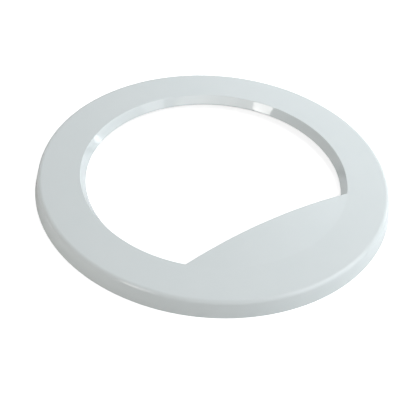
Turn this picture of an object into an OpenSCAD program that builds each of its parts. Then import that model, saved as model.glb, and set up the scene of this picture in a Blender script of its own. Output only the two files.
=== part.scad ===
// Outer door panel of a front-loading washing machine: one white moulding.
// The flat ring lies face up with its back rim on z = 0, and +X points at the finger lip.
// Lengths are millimetres and angles are degrees.

/* [Ring] */
// Diameter across the back rim, the widest place
rim_d = 400; // [390:1:420]
// Depth from the back rim to the flat face
ring_depth = 18.8; // [17.5:0.1:24]
// Thickness of the face plate and of the outer skirt
shell_wall = 2.5; // [2:0.1:3.2]
// Angle by which the outer skirt leans in from upright
skirt_draft = 12; // [4:0.5:16]
// Radius of the outer round between the skirt and the face
face_round = 5; // [4:0.1:6.5]
// Width of the flat that is left on the rim, beside its rebate
rim_flat = 1.5; // [1.2:0.1:1.8]
// Height of the rebate inside the rim, where the inner door frame lands
rebate_height = 3; // [2:0.1:4]

/* [Window] */
// Diameter of the window at the face
window_d = 299.6; // [292:0.2:308]
// Angle by which the bezel round the window leans in from upright
bezel_lean = 31.5; // [20:0.5:36]
// Depth of the bezel below the face
bezel_depth = 11; // [9:0.1:13]
// Thickness of the bezel
bezel_wall = 2.2; // [1.8:0.1:2.6]
// Radius of the edge between the face and the bezel
window_round = 1; // [0.6:0.1:1.6]

/* [Finger lip] */
// Half of the angle that the lip takes up on the window circle
lip_half_angle = 46; // [40:0.5:52]
// How far the lip's edge bows towards the middle of the window
lip_bow = 6; // [4:0.1:12]
// Height of the lip's edge above the face, at its middle
lip_rise = 4.5; // [2.5:0.1:7]
// Thickness of the lip, whose edge is fully round
lip_wall = 2.8; // [2.2:0.1:3.4]
// Thickness of the pocket wall at its foot
pocket_wall = 2; // [1.6:0.1:2.6]
// Draft angle of each face of the pocket wall
pocket_draft = 3; // [1:0.5:4]
// Thickness of the two jambs that close the pocket at the lip's corners
jamb_wall = 2; // [1.6:0.1:2.6]
// Angle from the lip's middle to each of the two buttresses below it
buttress_angle = 31; // [28:0.5:34]
// Distance from the lip's edge back to the tip of a buttress
buttress_setback = 7; // [4:0.5:12]

/* [Screw bosses] */
// Number of screw bosses round the ring
boss_count = 10; // [6:2:14]
// Diameter of the circle through the boss centres
boss_circle_d = 344; // [340:1:350]
// Diameter of a boss at its mouth
boss_d = 8.4; // [7.4:0.1:10]
// Diameter of the pilot hole for a self-tapping screw
pilot_d = 3.4; // [2.8:0.1:4.2]
// Depth of the pilot hole
pilot_depth = 11.5; // [8:0.1:12]
// Distance from the rim plane up to the boss mouths
boss_setback = 3; // [2:0.1:4.5]
// Draft angle of the bosses
boss_draft = 1; // [0.5:0.25:2]

/* [Ribs] */
// Thickness of the stiffening ribs
rib_wall = 1.6; // [1.2:0.1:2]
// Height of the radial ribs below the face plate
rib_height = 7; // [4:0.1:8]
// Height of the ring rib that joins the bosses
ring_rib_height = 5; // [3:0.1:7]
// Reach of the two gussets beside each boss, along its radial rib
gusset_reach = 12; // [8:0.5:16]
// Distance from a boss mouth up to the gussets' tips
gusset_setback = 2; // [1:0.1:4]

/* [Hidden] */

plastic = "#dde3e3";
rim_r = rim_d / 2;
window_r = window_d / 2;
boss_circle_r = boss_circle_d / 2;
plate_back_z = ring_depth - shell_wall;
plate_mid_z = ring_depth - shell_wall / 2;
// A cut passes this far through what it cuts
through = 1;

// Points along an arc, from one angle to another
function arc(centre, r, from, to, steps) = [
    for (i = [0:steps])
        let (a = from + (to - from) * i / steps)
        centre + r * [cos(a), sin(a)]
];

// The skirt's outer face at a height, and the centre of the outer round
function skirt_r(z) = rim_r - z * tan(skirt_draft);
round_z = ring_depth - face_round;
round_r = skirt_r(round_z + face_round * sin(skirt_draft)) - face_round * cos(skirt_draft);
rebate_r = skirt_r(rebate_height) - rim_flat / cos(skirt_draft);

// The bezel's slanted face, from the window's edge down to its foot
function bezel_point(along, into) = [
    window_r - along * sin(bezel_lean) + into * cos(bezel_lean),
    ring_depth - along * cos(bezel_lean) - into * sin(bezel_lean)
];
bezel_foot_z = ring_depth - bezel_depth;
foot_round = bezel_wall / 2;
bezel_run = (bezel_depth - foot_round * (1 + sin(bezel_lean))) / cos(bezel_lean);
bezel_root_run = (shell_wall - bezel_wall * sin(bezel_lean)) / cos(bezel_lean);
edge_tangent = window_round * tan((90 - bezel_lean) / 2);
edge_centre = [window_r + edge_tangent, ring_depth - window_round];

// The lip is a cap of a sphere whose centre is on the ring's axis. The sphere passes
// through the window's edge, and a tilted plane cuts it along the lip's edge.
corner_x = window_r * cos(lip_half_angle);
corner_y = window_r * sin(lip_half_angle);
lip_tip_x = corner_x - lip_bow;
crown_drop = (pow(window_r, 2) - pow(lip_tip_x, 2) - pow(lip_rise, 2)) / (2 * lip_rise);
crown_r = sqrt(pow(window_r, 2) + pow(crown_drop, 2));
crown_z = ring_depth - crown_drop;
lip_tilt = atan2(lip_rise, lip_bow);
lip_round = lip_wall / 2;
lip_lap = 1.5;
// Angles at the sphere's centre, from the tilted axis to the lip's edge and to its root
edge_angle = lip_tilt - atan2(lip_tip_x, crown_drop + lip_rise);
round_angle = edge_angle - atan2(lip_round, crown_r - lip_round);
root_angle = lip_tilt - asin((window_r + 2 * lip_lap) / crown_r);
lip_sweep = 2 * asin(corner_y / (crown_r * sin(edge_angle))) + 2;
// The middle of the lip's round edge, and the height of the lip's middle at a radius
lip_mid_r = crown_r - lip_round;
lip_anchor = lip_mid_r * [sin(round_angle), cos(round_angle)];
function lip_mid_z(r) = crown_z + sqrt(pow(lip_mid_r, 2) - pow(r, 2));

// Seen from above, the lip's edge is an arc, and the bezel ends a little inside it
plan_r = (pow(corner_y, 2) + pow(lip_bow, 2)) / (2 * lip_bow);
plan_x = lip_tip_x + plan_r;
seam_inset = lip_wall / 4;
seam_lap = 0.5;
// Distance from the ring's axis to the lip's edge, in a direction
function lip_edge_r(a) = plan_x * cos(a) - sqrt(pow(plan_r, 2) - pow(plan_x * sin(a), 2));

// The pocket wall stands below the lip's root and is thickest at the plate
pocket_root = pocket_wall / 2 + (plate_mid_z - bezel_foot_z) * tan(pocket_draft);
pocket_mid_r = window_r + pocket_root;

// Middle of the skirt, and the bezel behind its slanted face, at a height
function skirt_mid_r(z) = skirt_r(z) - shell_wall / 2 / cos(skirt_draft);
function bezel_r(z, into) =
    let (along = (ring_depth - z - into * sin(bezel_lean)) / cos(bezel_lean))
    bezel_point(along, into)[0];
// The jambs stand this far behind the bezel's face
jamb_inset = bezel_wall / 5;
jamb_foot_z = bezel_foot_z + foot_round;

rib_pitch = 180 / boss_count;
rib_foot_z = plate_back_z - rib_height;
ring_rib_z = plate_back_z - ring_rib_height;
boss_height = plate_mid_z - boss_setback;
boss_root_r = boss_d / 2 + boss_height * tan(boss_draft);
gusset_z = boss_setback + gusset_setback;

ring_fn = 240;
sweep_fn = 1440;
boss_fn = 48;
pilot_fn = 36;
crown_steps = 12;
round_steps = 8;

// Section of the whole ring: rim, skirt, outer round, face, window edge, bezel and back
module ring_section() {
    inner_round = face_round - shell_wall;
    polygon(concat(
        [[rim_r, 0]],
        arc([round_r, round_z], face_round, skirt_draft, 90, round_steps),
        arc(edge_centre, window_round, 90, 180 - bezel_lean, round_steps / 2),
        arc(bezel_point(bezel_run, foot_round), foot_round, 180 - bezel_lean, 360 - bezel_lean,
            round_steps),
        [bezel_point(bezel_root_run, bezel_wall)],
        arc([round_r, round_z], inner_round, 90, skirt_draft, round_steps / 2),
        [[skirt_r(rebate_height) - shell_wall / cos(skirt_draft), rebate_height]],
        [[rebate_r, rebate_height], [rim_r - rim_flat / cos(skirt_draft), 0]]
    ));
}

// Drafted wall behind the fingers, from its foot up into the plate
module pocket_section() {
    polygon([
        [pocket_mid_r - pocket_wall / 2, bezel_foot_z],
        [pocket_mid_r + pocket_wall / 2, bezel_foot_z],
        [pocket_mid_r + pocket_root, plate_mid_z],
        [pocket_mid_r - pocket_root, plate_mid_z]
    ]);
}

// Section of the lip about its round edge: a band of the sphere
module lip_section() {
    translate(lip_anchor)
        polygon(concat(
            [for (i = [crown_steps:-1:1])
                let (a = round_angle + (root_angle - round_angle) * i / crown_steps)
                crown_r * [sin(a), cos(a)] - lip_anchor],
            arc([0, 0], lip_round, 90 - round_angle, -90 - round_angle, round_steps),
            [for (i = [1:crown_steps])
                let (a = round_angle + (root_angle - round_angle) * i / crown_steps)
                (crown_r - lip_wall) * [sin(a), cos(a)] - lip_anchor]
        ));
}

// Everything on the lip's side of its edge, seen from above, and below a height
module lip_side(inset, top_z) {
    translate([plan_x, 0, -through])
        cylinder(r = plan_r - inset, h = top_z + through, $fn = sweep_fn);
}

// The window's round, grown by a lap, below a height
module window_round_bar(lap, top_z) {
    translate([0, 0, -through])
        rotate([0, 0, 180]) cylinder(r = window_r + lap, h = top_z + through, $fn = ring_fn);
}

module ring_shell() {
    difference() {
        rotate([0, 0, 180]) rotate_extrude($fn = ring_fn) ring_section();
        intersection() {
            lip_side(seam_inset + seam_lap, plate_mid_z - seam_lap);
            window_round_bar(lip_lap / 2, plate_mid_z - seam_lap);
        }
    }
}

module pocket_rim() {
    intersection() {
        rotate([0, 0, 180]) rotate_extrude($fn = ring_fn) pocket_section();
        lip_side(seam_inset, ring_depth);
    }
}

// Wall across the gap between the bezel's end and the pocket wall, at both corners
module jamb_section() {
    polygon([
        [bezel_r(jamb_foot_z, jamb_inset), jamb_foot_z],
        [pocket_mid_r, jamb_foot_z],
        [pocket_mid_r, plate_mid_z],
        [bezel_r(plate_mid_z, jamb_inset), plate_mid_z]
    ]);
}

module jambs() {
    difference() {
        intersection() {
            rotate([0, 0, 180]) rotate_extrude($fn = ring_fn) jamb_section();
            lip_side(seam_inset + seam_lap / 2, ring_depth);
        }
        lip_side(seam_inset + jamb_wall, ring_depth + through);
    }
}

module finger_lip() {
    intersection() {
        translate([0, 0, crown_z])
            rotate([0, lip_tilt, 0])
                rotate([0, 0, 180 - lip_sweep / 2])
                    rotate_extrude(angle = lip_sweep, $fn = sweep_fn) lip_section();
        window_round_bar(lip_lap, ring_depth + lip_rise + through);
    }
}

// A flat web that stands on a radius of the ring, in a direction
module web(a, outline) {
    rotate([90, 0, a])
        translate([0, 0, -rib_wall / 2]) linear_extrude(height = rib_wall) polygon(outline);
}

// Triangular webs that carry the lip on the pocket wall
module buttresses() {
    for (a = [-buttress_angle, buttress_angle]) {
        tip_r = lip_edge_r(a) + buttress_setback;
        web(a, [
            [pocket_mid_r, jamb_foot_z],
            [pocket_mid_r, lip_mid_z(pocket_mid_r)],
            [tip_r, lip_mid_z(tip_r)]
        ]);
    }
}

// Radial ribs from the window's wall to the skirt, with gussets where a boss stands
module radial_ribs() {
    for (i = [0:2 * boss_count - 1]) {
        a = i * rib_pitch;
        beside_pocket = min(a, 360 - a) < lip_half_angle;
        foot_r = beside_pocket ? pocket_mid_r : bezel_r(rib_foot_z, bezel_wall / 2);
        top_r = beside_pocket ? pocket_mid_r : bezel_r(plate_mid_z, bezel_wall / 2);
        gussets = i % 2 == 0 ? [] : [
            [boss_circle_r - gusset_reach, rib_foot_z],
            [boss_circle_r - pilot_d, gusset_z],
            [boss_circle_r + pilot_d, gusset_z],
            [boss_circle_r + gusset_reach, rib_foot_z]
        ];
        web(a, concat(
            [[top_r, plate_mid_z], [foot_r, rib_foot_z]],
            gussets,
            [[skirt_mid_r(rib_foot_z), rib_foot_z], [skirt_mid_r(round_z), round_z]],
            [[round_r, plate_mid_z]]
        ));
    }
}

// Low rib round the boss circle
module ring_rib() {
    rotate([0, 0, 180 + rib_pitch / 2])
        rotate_extrude($fn = ring_fn)
            translate([boss_circle_r - rib_wall / 2, ring_rib_z])
                square([rib_wall, plate_mid_z - ring_rib_z]);
}

module at_bosses(z) {
    for (i = [0:boss_count - 1])
        rotate([0, 0, (2 * i + 1) * rib_pitch]) translate([boss_circle_r, 0, z]) children();
}

module door_panel() {
    color(plastic)
        difference() {
            union() {
                ring_shell();
                pocket_rim();
                jambs();
                finger_lip();
                buttresses();
                radial_ribs();
                ring_rib();
                at_bosses(boss_setback)
                    cylinder(r1 = boss_d / 2, r2 = boss_root_r, h = boss_height, $fn = boss_fn);
            }
            at_bosses(boss_setback - through)
                cylinder(d = pilot_d, h = pilot_depth + through, $fn = pilot_fn);
        }
}

door_panel();
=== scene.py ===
# %% [markdown]
# # The door ring of a front-loading washing machine
# The object is one glossy white plastic moulding: a flat ring, a bevelled bezel round the window and a
# domed lip that the fingers pull. A CAD model gives its exact shape. This notebook gives it its surface,
# its floor, its light and its camera. All lengths are metres, and the ring lies face up on z = 0.

import math

import bmesh
import bpy
import numpy as np
from mathutils import Matrix, Vector


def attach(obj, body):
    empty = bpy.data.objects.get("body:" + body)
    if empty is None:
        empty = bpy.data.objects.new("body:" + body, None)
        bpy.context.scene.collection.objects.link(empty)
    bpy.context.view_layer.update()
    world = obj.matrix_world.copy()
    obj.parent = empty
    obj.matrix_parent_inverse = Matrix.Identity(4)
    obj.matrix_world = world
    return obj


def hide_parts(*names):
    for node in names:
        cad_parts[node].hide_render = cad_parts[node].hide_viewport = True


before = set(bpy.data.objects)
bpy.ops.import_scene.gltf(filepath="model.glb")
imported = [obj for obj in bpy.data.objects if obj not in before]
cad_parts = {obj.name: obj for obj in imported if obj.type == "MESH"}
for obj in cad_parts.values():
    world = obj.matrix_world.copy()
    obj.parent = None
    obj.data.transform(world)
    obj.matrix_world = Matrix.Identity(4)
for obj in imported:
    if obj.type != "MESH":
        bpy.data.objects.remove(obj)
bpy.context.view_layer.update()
scene = bpy.context.scene
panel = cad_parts["door_panel"]
MM = 0.001

# %% [markdown]
# ## The camera
# A photograph's viewpoint can be guessed by eye, or solved. Here it was solved: circles of known height,
# such as the rim, the window's edge and the foot of the bezel, were fitted to their outlines in the photo,
# which gives the distance, the height and the field of view together. The camera stands 1 m away, 41
# degrees above the floor, and is rolled a little, so the ring's far side leans as it does in the photo.

# %% Camera
# Lengths in metres, angles in degrees, and the focal length in pixels of the photo.
VIEW = {"distance": 0.99957, "elevation": 41.48, "roll": 4.38, "focal_px": 896.35,
        "target": (-0.01368, -0.02834)}
PHOTO_PX = 400
SENSOR_MM = 36
LIP_TURN = math.radians(53.15)


def turned(x, y):
    """A point of the photo's own floor plan, turned so that +X points at the lip."""
    c, s = math.cos(LIP_TURN), math.sin(LIP_TURN)
    return x * c - y * s, x * s + y * c


def aim_camera():
    """Places the solved camera and returns it."""
    elevation, roll = math.radians(VIEW["elevation"]), math.radians(VIEW["roll"])
    back = Vector((*turned(0, -math.cos(elevation)), math.sin(elevation)))
    right = Vector((*turned(1, 0), 0))
    up = back.cross(right)
    rolled_right = right * math.cos(roll) + up * math.sin(roll)
    rolled_up = up * math.cos(roll) - right * math.sin(roll)
    place = Vector((*turned(*VIEW["target"]), 0)) + back * VIEW["distance"]
    data = bpy.data.cameras.new("photo_camera")
    data.sensor_width = SENSOR_MM
    data.lens = VIEW["focal_px"] / PHOTO_PX * SENSOR_MM
    camera = bpy.data.objects.new("photo_camera", data)
    scene.collection.objects.link(camera)
    axes = Matrix((rolled_right, rolled_up, back)).transposed().to_4x4()
    camera.matrix_world = Matrix.Translation(place) @ axes
    return camera


scene.camera = aim_camera()
print("lens", round(scene.camera.data.lens, 1), "mm at", [round(v, 3) for v in scene.camera.location])

# %% [markdown]
# ## Colours and nodes
# Colours are picked as sRGB hex values, the way a paint program shows them, but shaders work on linear
# light. One function does the change. One more adds a shader node with its settings and its links, so
# that a material reads as a list of what it is made of.

# %% Helpers for materials


def linear(hex_colour):
    """sRGB hex such as "dde4e3" as linear RGBA."""
    srgb = [int(hex_colour[i:i + 2], 16) / 255 for i in (0, 2, 4)]
    return [c / 12.92 if c <= 0.04045 else ((c + 0.055) / 1.055) ** 2.4 for c in srgb] + [1.0]


def node(tree, kind, links=None, inputs=None, **settings):
    """Adds a node: settings are its properties, inputs its socket values, links what feeds a socket."""
    made = tree.nodes.new(kind)
    for name, value in settings.items():
        setattr(made, name, value)
    for name, value in (inputs or {}).items():
        made.inputs[name].default_value = value
    for name, socket in (links or {}).items():
        tree.links.new(socket, made.inputs[name])
    return made


def new_material(name):
    """An empty node material and its output node."""
    made = bpy.data.materials.new(name)
    made.use_nodes = True
    made.node_tree.nodes.clear()
    return made, made.node_tree.nodes.new("ShaderNodeOutputMaterial")


print("mid grey 808080 as linear light", round(linear("808080")[0], 3))

# %% [markdown]
# ## The plastic
# The ring is injection-moulded ABS, the usual plastic of appliance trim. One half of its mould is polished,
# so the front comes out glossy, and the cool white pigment goes all the way through. The other half, which
# forms the back, is left as the spark eroder made it, so the same plastic looks satin there. A Principled
# shader at the IOR of ABS (1.54) gives both, and only the roughness and the skin differ. A long, shallow
# unevenness of 30 mm, where the plastic shrank over its ribs, keeps the gloss from looking like glass.

# %% ABS finishes
PIGMENT = ("dde4e3", "e0e6e5")
ABS_IOR = 1.54
# The width and depth of the unevenness, and how far it moves the roughness either way as its noise goes
# from low to high.
SINK_MM, SINK_DEPTH_MM = 30, 0.03
GLOSS_VARIES = 0.01
NOISE_LOW, NOISE_HIGH = 0.3, 0.7


def moulded_abs(name, roughness, skin_mm, skin_depth_mm):
    """ABS as it leaves one half of a mould: its gloss, and the size and depth of its skin."""
    material, output = new_material(name)
    tree = material.node_tree
    where = node(tree, "ShaderNodeTexCoord")
    sink = node(tree, "ShaderNodeTexNoise", {"Vector": where.outputs["Object"]},
                {"Scale": 1 / (SINK_MM * MM), "Detail": 1.0, "Roughness": 0.4})
    skin = node(tree, "ShaderNodeTexNoise", {"Vector": where.outputs["Object"]},
                {"Scale": 1 / (skin_mm * MM), "Detail": 1.0, "Roughness": 0.5})
    gloss = node(tree, "ShaderNodeMapRange", {"Value": sink.outputs["Fac"]},
                 {"From Min": NOISE_LOW, "From Max": NOISE_HIGH,
                  "To Min": roughness - GLOSS_VARIES, "To Max": roughness + GLOSS_VARIES})
    soft = node(tree, "ShaderNodeBump", {"Height": sink.outputs["Fac"]},
                {"Strength": 1.0, "Distance": SINK_DEPTH_MM * MM})
    fine = node(tree, "ShaderNodeBump", {"Height": skin.outputs["Fac"], "Normal": soft.outputs["Normal"]},
                {"Strength": 1.0, "Distance": skin_depth_mm * MM})
    # Sockets 6 and 7 are the two colours of a Mix node; its named A and B are plain numbers.
    tint = node(tree, "ShaderNodeMix", {"Factor": sink.outputs["Fac"]},
                {6: linear(PIGMENT[0]), 7: linear(PIGMENT[1])}, data_type="RGBA")
    plastic = node(tree, "ShaderNodeBsdfPrincipled",
                   {"Base Color": tint.outputs[2], "Roughness": gloss.outputs["Result"],
                    "Normal": fine.outputs["Normal"]},
                   {"IOR": ABS_IOR})
    tree.links.new(plastic.outputs["BSDF"], output.inputs["Surface"])
    print("material", name, "roughness", roughness)
    return material


polished_abs = moulded_abs("polished_white_abs", 0.05, 6.0, 0.0008)
satin_abs = moulded_abs("spark_eroded_white_abs", 0.42, 0.8, 0.012)

# %% [markdown]
# ## The moulding
# The CAD mesh has the right shape, but its triangles are loose, so each small facet of a round edge is
# shaded flat. A copy whose points are merged can be shaded smooth. Edges sharper than 24 degrees stay
# sharp, and weighted normals keep the flat face flat up to the start of each round.

# %% Merged and smooth copy
MERGE_MM = 0.002


def smooth_copy(source, name, sharp_degrees):
    """A merged copy of a CAD node, smooth but for its sharp edges."""
    mesh = source.data.copy()
    work = bmesh.new()
    work.from_mesh(mesh)
    bmesh.ops.remove_doubles(work, verts=work.verts, dist=MERGE_MM * MM)
    for face in work.faces:
        face.smooth = True
    for edge in work.edges:
        edge.smooth = edge.calc_face_angle(0) < math.radians(sharp_degrees)
    open_edges = sum(len(edge.link_faces) != 2 for edge in work.edges)
    work.to_mesh(mesh)
    work.free()
    mesh.materials.clear()
    copy = bpy.data.objects.new(name, mesh)
    scene.collection.objects.link(copy)
    weights = copy.modifiers.new("flat_faces_lead", "WEIGHTED_NORMAL")
    weights.keep_sharp = True
    print(name, len(mesh.polygons), "faces,", open_edges, "edges without two faces")
    return copy


moulding = smooth_copy(panel, "ring_moulding", sharp_degrees=24)

# %% [markdown]
# ## Front and back of the mould
# Where the two halves of the mould meet is plain from the shape: everything inside the hollow back, and
# the underside of the lip, was formed by the rough half. Each face is sorted by where its middle is and
# which way it looks, and gets the polished or the satin finish.

# %% Two finishes on one mesh
# Where the rough half begins: just above the underside of the plate, past the wall round the window, and
# at the inside of the skirt. The lip's underside is above LIP_LOW_Z. The pocket's wall, behind the
# fingers, is past POCKET_X and may begin POCKET_REACH nearer to the window.
PLATE_BACK_Z, WINDOW_WALL_R, SKIRT_INSIDE_R = 16.35 * MM, 153.0 * MM, 194.5 * MM
LIP_LOW_Z, POCKET_X, POCKET_REACH = 0.6 * PLATE_BACK_Z, 0.1, 4 * MM
# The share of a face's direction that points out, in or down, past which it is leaning, level, upright.
LEANING, LEVEL, UPRIGHT = 0.3, 0.7, 0.9


def sort_finishes(mesh):
    """Material 0 is the polished front, 1 the satin back."""
    count = len(mesh.polygons)
    middle, facing = np.empty(count * 3), np.empty(count * 3)
    mesh.polygons.foreach_get("center", middle)
    mesh.polygons.foreach_get("normal", facing)
    middle, facing = middle.reshape(-1, 3), facing.reshape(-1, 3)
    radius = np.hypot(middle[:, 0], middle[:, 1])
    outward = (middle[:, 0] * facing[:, 0] + middle[:, 1] * facing[:, 1]) / radius
    below_plate, inside_skirt = middle[:, 2] < PLATE_BACK_Z, radius < SKIRT_INSIDE_R
    hollow = (radius > WINDOW_WALL_R) & inside_skirt & below_plate
    skirt_inside = ~inside_skirt & (outward < -LEANING)
    bezel_back = (radius <= WINDOW_WALL_R) & (outward > LEANING) & below_plate
    under_lip = (radius < WINDOW_WALL_R) & (facing[:, 2] < -LEVEL) & (middle[:, 2] > LIP_LOW_Z)
    by_pocket = (middle[:, 0] > POCKET_X) & (radius > WINDOW_WALL_R - POCKET_REACH) & inside_skirt
    pocket = by_pocket & (outward < -UPRIGHT)
    back = hollow | skirt_inside | bezel_back | under_lip | pocket
    mesh.polygons.foreach_set("material_index", back.astype(np.int32))
    print(int(back.sum()), "faces of the back,", int((~back).sum()), "of the front")


moulding.data.materials.append(polished_abs)
moulding.data.materials.append(satin_abs)
sort_finishes(moulding.data)
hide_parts("door_panel")
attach(moulding, "root")

# %% [markdown]
# ## Ejector marks
# When the mould opens, round steel pins push the ring off its rough half, and each pin leaves a shallow
# disc on the back of the plate. They repeat round the ring, so Geometry Nodes make them: a circle of
# points, a disc on every point, and the whole turned so that the discs fall between the ribs. A modelled
# disc catches light from the side as the real one does, which a drawn ring would not.

# %% A circle of discs with Geometry Nodes
DISC_SIDES = 32


def ring_of_discs():
    """Geometry Nodes tree with its sizes as named inputs."""
    tree = bpy.data.node_groups.new("ring_of_discs", "GeometryNodeTree")
    face = tree.interface
    face.new_socket("Geometry", in_out="OUTPUT", socket_type="NodeSocketGeometry")
    for name, kind in (("Count", "NodeSocketInt"), ("Circle Radius", "NodeSocketFloat"),
                       ("Disc Radius", "NodeSocketFloat"), ("Disc Height", "NodeSocketFloat"),
                       ("Middle Height", "NodeSocketFloat"), ("Turn", "NodeSocketFloat"),
                       ("Material", "NodeSocketMaterial")):
        face.new_socket(name, in_out="INPUT", socket_type=kind)
    given = node(tree, "NodeGroupInput")
    circle = node(tree, "GeometryNodeMeshCircle", {"Vertices": given.outputs["Count"],
                                                  "Radius": given.outputs["Circle Radius"]})
    disc = node(tree, "GeometryNodeMeshCylinder", {"Radius": given.outputs["Disc Radius"],
                                                  "Depth": given.outputs["Disc Height"]},
                {"Vertices": DISC_SIDES})
    placed = node(tree, "GeometryNodeInstanceOnPoints", {"Points": circle.outputs["Mesh"],
                                                        "Instance": disc.outputs["Mesh"]})
    lift = node(tree, "ShaderNodeCombineXYZ", {"Z": given.outputs["Middle Height"]})
    turn = node(tree, "ShaderNodeCombineXYZ", {"Z": given.outputs["Turn"]})
    moved = node(tree, "GeometryNodeTransform", {"Geometry": placed.outputs["Instances"],
                                                "Translation": lift.outputs["Vector"],
                                                "Rotation": turn.outputs["Vector"]})
    real = node(tree, "GeometryNodeRealizeInstances", {"Geometry": moved.outputs["Geometry"]})
    painted = node(tree, "GeometryNodeSetMaterial", {"Geometry": real.outputs["Geometry"],
                                                    "Material": given.outputs["Material"]})
    node(tree, "NodeGroupOutput", {"Geometry": painted.outputs["Geometry"]})
    return tree


def made_by(tree, name, values):
    """A plain mesh object from a Geometry Nodes tree and values for its named inputs."""
    carrier = bpy.data.objects.new("carrier", bpy.data.meshes.new("carrier"))
    scene.collection.objects.link(carrier)
    maker = carrier.modifiers.new("maker", "NODES")
    maker.node_group = tree
    sockets = {s.name: s.identifier for s in tree.interface.items_tree if s.in_out == "INPUT"}
    for key, value in values.items():
        maker[sockets[key]] = value
    ready = carrier.evaluated_get(bpy.context.evaluated_depsgraph_get())
    mesh = bpy.data.meshes.new_from_object(ready)
    bpy.data.objects.remove(carrier)
    made = bpy.data.objects.new(name, mesh)
    scene.collection.objects.link(made)
    print(name, len(mesh.polygons), "faces")
    return made


discs = ring_of_discs()
for place, circle_mm in (("inner", 162), ("outer", 182)):
    marks = made_by(discs, f"ejector_marks_{place}", {
        "Count": 20, "Circle Radius": circle_mm * MM, "Disc Radius": 2.5 * MM, "Disc Height": 0.5 * MM,
        "Middle Height": 16.4 * MM, "Turn": math.radians(9), "Material": satin_abs})
    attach(marks, "root")

# %% [markdown]
# ## The floor and the white background
# The photo's ring lies on pure white. A white that bright would need far too much light on the object, so
# the rays are told apart instead. Light that bounces off the floor onto the ring meets a plain pale floor,
# the rays of the gloss meet white paper in the lamps' light, so that the ring's own shadow darkens its
# reflection too, and camera rays meet the same pale floor with a glow that lifts it to white. The shadow
# stays in all three. The glow grows with the distance, where the lamps' light fades, so that the floor is
# white up to the horizon and no line shows where it ends.

# %% Floor
WHITE, PALE_FLOOR = "ffffff", "d3d3d3"
FLOOR_SIZE, FLOOR_DROP = 8, 0.2 * MM
# The distance from the ring's middle, in metres, and the strength of the floor's glow there.
GLOW_NEAR, GLOW_FAR = (0.3, 0.8), (1.2, 1.0)


def ray_kinds(tree):
    """The Light Path node, and a socket that is 1 for rays that gloss or glass sends on."""
    rays = node(tree, "ShaderNodeLightPath")
    mirrored = node(tree, "ShaderNodeMath", {0: rays.outputs["Is Glossy Ray"],
                                             1: rays.outputs["Is Transmission Ray"]}, operation="MAXIMUM")
    return rays, mirrored.outputs["Value"]


def floor_material():
    """A pale floor that the camera and the gloss see as white."""
    material, output = new_material("pale_studio_floor")
    tree = material.node_tree
    rays, mirrored = ray_kinds(tree)
    pale = node(tree, "ShaderNodeBsdfDiffuse", inputs={"Color": linear(PALE_FLOOR)})
    white = node(tree, "ShaderNodeBsdfDiffuse", inputs={"Color": linear(WHITE)})
    where = node(tree, "ShaderNodeTexCoord")
    distance = node(tree, "ShaderNodeVectorMath", {0: where.outputs["Object"]}, operation="LENGTH")
    fade = node(tree, "ShaderNodeMapRange", {"Value": distance.outputs["Value"]},
                {"From Min": GLOW_NEAR[0], "From Max": GLOW_FAR[0],
                 "To Min": GLOW_NEAR[1], "To Max": GLOW_FAR[1]})
    glow = node(tree, "ShaderNodeEmission", {"Strength": fade.outputs["Result"]}, {"Color": linear(WHITE)})
    lifted = node(tree, "ShaderNodeAddShader", {0: pale.outputs["BSDF"], 1: glow.outputs["Emission"]})
    reflected = node(tree, "ShaderNodeMixShader",
                     {"Fac": mirrored, 1: pale.outputs["BSDF"], 2: white.outputs["BSDF"]})
    seen = node(tree, "ShaderNodeMixShader",
                {"Fac": rays.outputs["Is Camera Ray"], 1: reflected.outputs["Shader"],
                 2: lifted.outputs["Shader"]})
    tree.links.new(seen.outputs["Shader"], output.inputs["Surface"])
    return material


bpy.ops.mesh.primitive_plane_add(size=FLOOR_SIZE, location=(0, 0, -FLOOR_DROP))
floor = bpy.context.active_object
floor.name = "studio_floor"
floor.data.materials.append(floor_material())
print("floor", [round(v, 2) for v in floor.dimensions])

# %% [markdown]
# ## The room above the floor
# The world is the rest of the room. The camera and the gloss see it white, at a strength of 1. As a source
# of light it is weak, because a strong even light from all round would flatten the ring's shading.

# %% World
ROOM_STRENGTH = 0.02


def studio_world(light_strength):
    """White to the camera and in reflections, and light_strength as a light."""
    made = bpy.data.worlds.new("studio_world")
    made.use_nodes = True
    tree = made.node_tree
    tree.nodes.clear()
    rays, mirrored = ray_kinds(tree)
    shown = node(tree, "ShaderNodeMath", {0: rays.outputs["Is Camera Ray"], 1: mirrored},
                 operation="MAXIMUM")
    dim = node(tree, "ShaderNodeBackground", inputs={"Color": linear(WHITE), "Strength": light_strength})
    white = node(tree, "ShaderNodeBackground", inputs={"Color": linear(WHITE), "Strength": 1.0})
    picked = node(tree, "ShaderNodeMixShader",
                  {"Fac": shown.outputs["Value"], 1: dim.outputs["Background"],
                   2: white.outputs["Background"]})
    node(tree, "ShaderNodeOutputWorld", {"Surface": picked.outputs["Shader"]})
    return made


scene.world = studio_world(ROOM_STRENGTH)
print("world", scene.world.name, "lights at", ROOM_STRENGTH)

# %% [markdown]
# ## The light
# The photo was taken by daylight from two sides. The gloss tells where it came from: the long highlight on
# the right rounds is a wide, tall window, the short bright patch on the far bezel is a small window at the
# left front, the pale far bezel mirrors a strip at the near side, and the dash on the left bezel is a gap
# low down at the far right. The walls and the ceiling fill in the rest as wide soft lamps, and their
# strengths were solved from the shades of the ring's face, bezel and rim in the photo. They light the ring,
# but its gloss meets the even white of the world in their place, so that no wall's edge cuts across the
# flat face when it is seen from another side. No lamp is seen by the camera itself.

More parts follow.
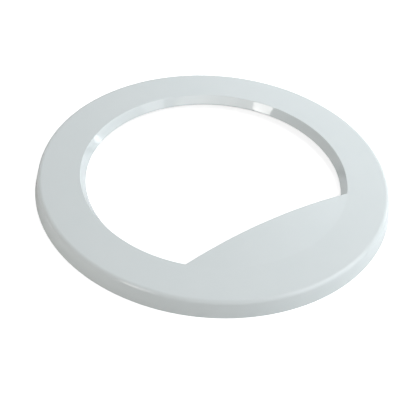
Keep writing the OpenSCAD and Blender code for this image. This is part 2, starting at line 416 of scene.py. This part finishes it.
# %% Lamps
# Each lamp's azimuth and elevation in degrees in the photo's own floor plan, its distance, its width and
# height in metres, its watts and its colour.
DAYLIGHT, ROOM = "f8fbff", "fffcfa"
WINDOWS = {
    "right_window": (346, 42, 1.5, (1.3, 1.1), 9.0, DAYLIGHT),
    "far_right_gap": (28, 2, 1.5, (0.2, 0.15), 0.4, DAYLIGHT),
    "near_strip": (270, 31, 1.6, (2.2, 0.14), 2.1, ROOM),
    "left_window": (230, 36, 1.5, (0.38, 0.7), 2.0, ROOM),
    "left_sill": (230, 28.5, 1.4, (0.36, 0.12), 0.85, ROOM),
}
WALLS = {
    "right_wall": (350, 14, 1.5, (2.0, 0.7), 9.5, DAYLIGHT),
    "right_ceiling": (0, 62, 1.1, (0.9, 0.6), 2.0, DAYLIGHT),
    "far_ceiling": (70, 50, 1.0, (0.8, 0.5), 3.7, DAYLIGHT),
    "far_right_wall": (60, 12, 1.0, (0.8, 0.4), 2.0, DAYLIGHT),
    "left_wall": (197, 13, 1.3, (1.7, 0.6), 4.9, ROOM),
}


def soft_lamp(name, azimuth, elevation, distance, size, watts, colour):
    """A rectangular area lamp that looks at the ring."""
    data = bpy.data.lights.new(name, "AREA")
    data.shape = "RECTANGLE"
    data.size, data.size_y = size
    data.energy = watts
    data.color = linear(colour)[:3]
    lamp = bpy.data.objects.new(name, data)
    lamp.visible_camera = False
    scene.collection.objects.link(lamp)
    a, e = math.radians(azimuth), math.radians(elevation)
    place = Vector((*turned(math.cos(a) * math.cos(e), math.sin(a) * math.cos(e)), math.sin(e))) * distance
    facing_ring = place.to_track_quat("Z", "Y").to_matrix().to_4x4()
    lamp.matrix_world = Matrix.Translation(place) @ facing_ring
    return lamp


for group, in_gloss in ((WINDOWS, True), (WALLS, False)):
    for name, values in group.items():
        lamp = soft_lamp(name, *values)
        lamp.visible_glossy = in_gloss
        print(name, "at", [round(v, 2) for v in lamp.matrix_world.translation], lamp.data.energy, "W")

# %% [markdown]
# ## Finish
# Standard view transform shows colours as they are written.

# %% View transform
scene.view_settings.view_transform = "Standard"
